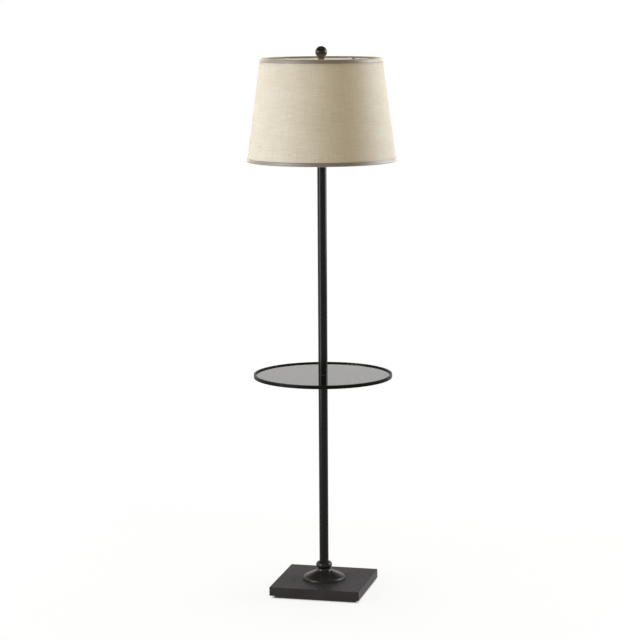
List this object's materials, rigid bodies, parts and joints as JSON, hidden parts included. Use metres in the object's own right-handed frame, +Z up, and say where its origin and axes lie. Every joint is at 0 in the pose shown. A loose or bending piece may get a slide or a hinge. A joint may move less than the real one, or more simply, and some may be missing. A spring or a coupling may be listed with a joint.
{
  "type": "floor lamp with table",
  "caption": "Floor lamp with a square weighted base, a straight round pole, a round glass tray table in a metal rim, and a tapered fabric shade on a harp.",
  "frame": {"origin": "centre of the base's underside, on the floor under the pole", "axes": "+Z up along the pole; the base's sides run along X and Y; the front, with the switch knob, faces -Y and the cord outlet is at the rear, +Y"},
  "size_m": [0.4061, 0.4062, 1.5008],
  "materials": {
    "dark_metal": "satin black bronze powder coat",
    "gloss_metal": "smooth semi-gloss black bronze lacquer",
    "pole_metal": "satin black bronze powder coat",
    "cast_weight": "rough cast",
    "black_plastic": "matte",
    "felt": "felt",
    "zinc": "zinc plated",
    "brass": "satin",
    "nickel": "nickel plated",
    "rubber": "matte black rubber",
    "grey_glass": "polished, ground edge",
    "phenolic": "moulded phenolic",
    "fibre": "vulcanised fibre",
    "frosted_glass": "frosted white",
    "linen": "slubbed linen weave",
    "liner": "smooth satin styrene",
    "tape": "woven tape",
    "bronze": "glossy black bronze lacquer"
  },
  "bodies": {
    "stand": {"felt_pad": "felt", "bottom_plate": "black_plastic", "bottom_plate_screws": "zinc", "base_weight": "cast_weight", "base_cover": "dark_metal", "cord_bushing": "black_plastic", "base_washer": "zinc", "base_lock_nut": "zinc", "base_nipple": "zinc", "base_flare": "gloss_metal", "neck_bead": "gloss_metal", "lower_tube": "pole_metal", "lower_tube_foot_plug": "zinc", "lower_tube_head_plug": "zinc", "table_nipple": "zinc", "glass_grommet": "rubber", "glass_washer": "rubber", "table_glass": "grey_glass", "table_rim": "dark_metal", "upper_tube": "pole_metal", "upper_tube_foot_plug": "zinc", "upper_tube_head_plug": "zinc", "head_nipple": "zinc", "tube_cap": "gloss_metal", "harp_saddle": "nickel", "saddle_lock_nut": "brass", "socket_cap": "brass", "socket_shell": "brass", "socket_liner": "fibre", "socket_body": "phenolic", "screw_shell": "brass", "centre_contact": "brass", "terminal_screws": "brass", "harp": "nickel", "harp_stud": "nickel"},
    "switch": {"switch_knob": "black_plastic"},
    "bulb": {"bulb_base": "zinc", "bulb_contact": "zinc", "bulb_glass": "frosted_glass"},
    "ferrule_left": {"harp_ferrule_left": "brass"},
    "ferrule_right": {"harp_ferrule_right": "brass"},
    "shade": {"spider": "dark_metal", "shade_top_ring": "nickel", "shade_bottom_ring": "nickel", "shade_fabric": "linen", "shade_liner": "liner", "shade_top_trim": "tape", "shade_bottom_trim": "tape"},
    "finial": {"finial": "bronze", "finial_insert": "brass"}
  },
  "joints": [
    {"name": "switch_turn", "type": "hinge", "parent": "stand", "child": "switch", "pos_m": [0, -0.02, 1.2504], "axis": [0, -1, 0], "continuous": true},
    {"name": "bulb_turn", "type": "hinge", "parent": "stand", "child": "bulb", "pos_m": [0, 0, 1.27], "axis": [0, 0, 1], "continuous": true},
    {"name": "ferrule_left_lift", "type": "slide", "parent": "stand", "child": "ferrule_left", "axis": [0, 0, 1], "range_m": [0, 0.01]},
    {"name": "ferrule_right_lift", "type": "slide", "parent": "stand", "child": "ferrule_right", "axis": [0, 0, 1], "range_m": [0, 0.01]},
    {"name": "shade_turn", "type": "hinge", "parent": "stand", "child": "shade", "pos_m": [0, 0, 1.4545], "axis": [0, 0, 1], "continuous": true},
    {"name": "finial_turn", "type": "hinge", "parent": "stand", "child": "finial", "pos_m": [0, 0, 1.47], "axis": [0, 0, 1], "continuous": true}
  ]
}
